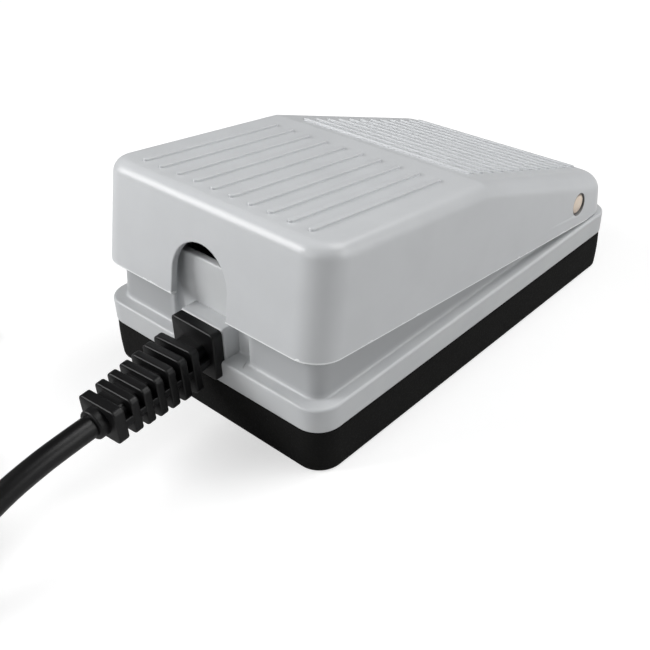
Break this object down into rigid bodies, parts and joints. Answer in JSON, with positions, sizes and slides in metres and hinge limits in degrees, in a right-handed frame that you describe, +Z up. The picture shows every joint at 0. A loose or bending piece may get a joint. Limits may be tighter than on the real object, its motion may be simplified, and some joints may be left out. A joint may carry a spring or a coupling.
{
  "type": "foot switch",
  "caption": "Foot switch with a ribbed pedal cover hinged over a low base on a foam pad, springs and a snap-action switch inside, and a lead with a plug.",
  "frame": {"origin": "middle of the foam pad's underside", "axes": "+X across the pedal, +Y from the lead's end towards the hinge, +Z up"},
  "size_m": [0.1076, 0.2352, 0.0477],
  "materials": {
    "foam": "open-cell foam, matt",
    "base_plastic": "fine satin moulding",
    "cover_plastic": "fine satin moulding",
    "steel_pin": "turned, slightly warm",
    "spring_steel": "drawn wire",
    "bumper_rubber": "soft rubber",
    "switch_plastic": "moulded",
    "lever_steel": "rolled sheet",
    "plunger_plastic": "moulded",
    "contact_brass": "plated",
    "screw_steel": "zinc plated",
    "board_laminate": "solder mask",
    "chip_resin": "moulded resin",
    "can_metal": "drawn can",
    "connector_plastic": "moulded nylon",
    "wire_insulation": "insulation",
    "lead_jacket": "satin flexible jacket",
    "relief_plastic": "satin flexible moulding",
    "tie_plastic": "flexible band",
    "plug_metal": "nickel plated",
    "tongue_plastic": "moulded"
  },
  "bodies": {
    "base": {"foam_pad": "foam", "base_housing": "base_plastic", "return_spring_left": "spring_steel", "return_spring_right": "spring_steel", "stop_bumpers": "bumper_rubber", "microswitch_body": "switch_plastic", "microswitch_terminals": "contact_brass", "microswitch_screws": "screw_steel", "circuit_board": "board_laminate", "board_screws": "screw_steel", "controller_chip": "chip_resin", "crystal": "can_metal", "capacitors": "chip_resin", "lead_connector": "connector_plastic", "lead_wires": "wire_insulation", "switch_wires": "wire_insulation", "lead_clamp": "base_plastic", "clamp_screws": "screw_steel", "strain_relief": "relief_plastic", "inner_lead": "lead_jacket", "cable_free": "lead_jacket", "cable_coil": "lead_jacket", "cable_tail": "lead_jacket", "cable_tie": "tie_plastic", "plug_grip": "relief_plastic", "plug_shell": "plug_metal", "plug_tongue": "tongue_plastic", "plug_contacts": "contact_brass"},
    "pedal": {"pedal_cover": "cover_plastic", "hinge_pin": "steel_pin"},
    "lever": {"microswitch_lever": "lever_steel"},
    "plunger": {"microswitch_plunger": "plunger_plastic"}
  },
  "joints": [
    {"name": "pedal_hinge", "type": "hinge", "parent": "base", "child": "pedal", "pos_m": [0, 0.039, 0.022], "axis": [1, 0, 0], "range_deg": [0, 5], "stiffness_Nm_per_rad": 2, "springref_deg": -8.59, "deforming": ["return_spring_left", "return_spring_right"]},
    {"name": "lever_hinge", "type": "hinge", "parent": "base", "child": "lever", "pos_m": [0, -0.01079, 0.0308], "axis": [1, 0, 0], "range_deg": [-10.6, 0.2]},
    {"name": "plunger_slide", "type": "slide", "parent": "base", "child": "plunger", "axis": [0, 0, 1], "range_m": [-0.00084, 0.00001]}
  ],
  "couplings": [
    {"joint": "lever_hinge", "follows": "pedal_hinge", "ratio": -2.055},
    {"joint": "plunger_slide", "follows": "pedal_hinge", "m_per_rad": -0.0093}
  ]
}
